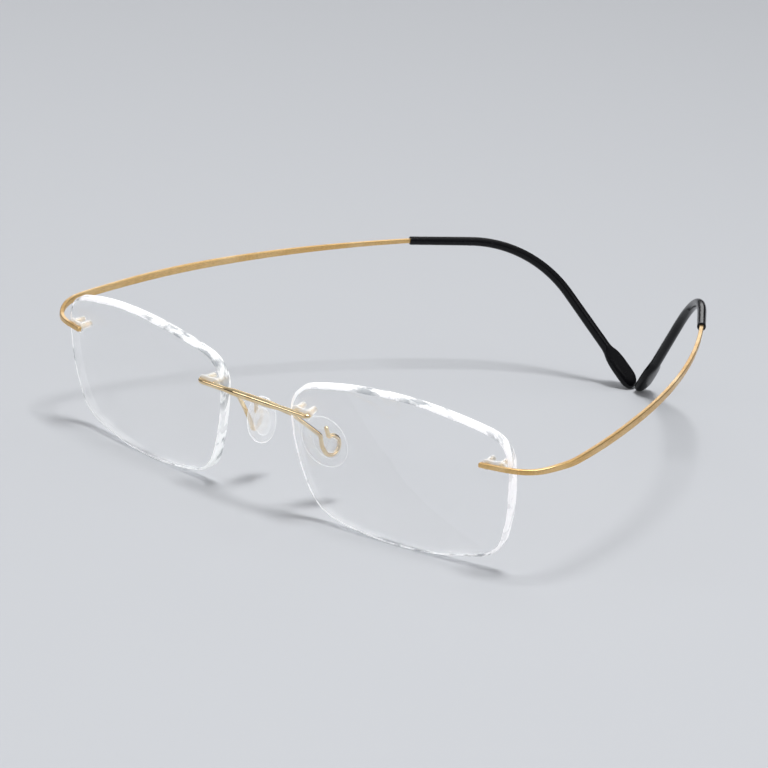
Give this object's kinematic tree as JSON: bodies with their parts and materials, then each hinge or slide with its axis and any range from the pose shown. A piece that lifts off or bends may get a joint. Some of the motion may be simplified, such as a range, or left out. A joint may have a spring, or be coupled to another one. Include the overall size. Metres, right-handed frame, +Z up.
{
  "type": "rimless eyeglasses",
  "caption": "Rimless eyeglasses with drilled rounded-rectangle lenses, a slim gold bridge, clear nose pads and springy bowed temples that end in black ear tips.",
  "frame": {"origin": "on the table that the glasses stand on, in the middle of their width and length", "axes": "+Z up, lenses face -Y, temples run back along +Y, +X is the wearer's left"},
  "size_m": [0.1396, 0.1482, 0.0346],
  "materials": {
    "lens": "clear, polished, with a faint anti-reflection tint",
    "clear_plastic": "clear",
    "clear_silicone": "clear, soft",
    "bright_gold": "polished gold plating",
    "satin_gold": "satin gold plating",
    "black_tip": "glossy black"
  },
  "bodies": {
    "front": {"bridge": "bright_gold", "lens_left": "lens", "bridge_bushing_left": "clear_plastic", "temple_bushing_left": "clear_plastic", "bridge_prongs_left": "bright_gold", "temple_prongs_left": "bright_gold", "pad_arm_left": "bright_gold", "temple_bar_left": "satin_gold", "lens_right": "lens", "bridge_bushing_right": "clear_plastic", "temple_bushing_right": "clear_plastic", "bridge_prongs_right": "bright_gold", "temple_prongs_right": "bright_gold", "pad_arm_right": "bright_gold", "temple_bar_right": "satin_gold"},
    "temple_left": {"temple_left": "satin_gold", "temple_tip_left": "black_tip"},
    "nose_pad_left": {"nose_pad_left": "clear_silicone", "pad_core_left": "clear_plastic"},
    "temple_right": {"temple_right": "satin_gold", "temple_tip_right": "black_tip"},
    "nose_pad_right": {"nose_pad_right": "clear_silicone", "pad_core_right": "clear_plastic"}
  },
  "joints": [
    {"name": "temple_flex_left", "type": "hinge", "parent": "front", "child": "temple_left", "pos_m": [0.06865, -0.04523, 0.02712], "axis": [0, 0, -1], "range_deg": [0, 30], "stiffness_Nm_per_rad": 0.13},
    {"name": "pad_rock_left", "type": "hinge", "parent": "front", "child": "nose_pad_left", "pos_m": [0.0105, -0.05854, 0.01419], "axis": [-0.9756, 0.2001, -0.0901], "range_deg": [-15, 15]},
    {"name": "temple_flex_right", "type": "hinge", "parent": "front", "child": "temple_right", "pos_m": [-0.06865, -0.04523, 0.02712], "axis": [0, 0, 1], "range_deg": [0, 30], "stiffness_Nm_per_rad": 0.13},
    {"name": "pad_rock_right", "type": "hinge", "parent": "front", "child": "nose_pad_right", "pos_m": [-0.0105, -0.05854, 0.01419], "axis": [0.9756, 0.2001, -0.0901], "range_deg": [-15, 15]}
  ]
}
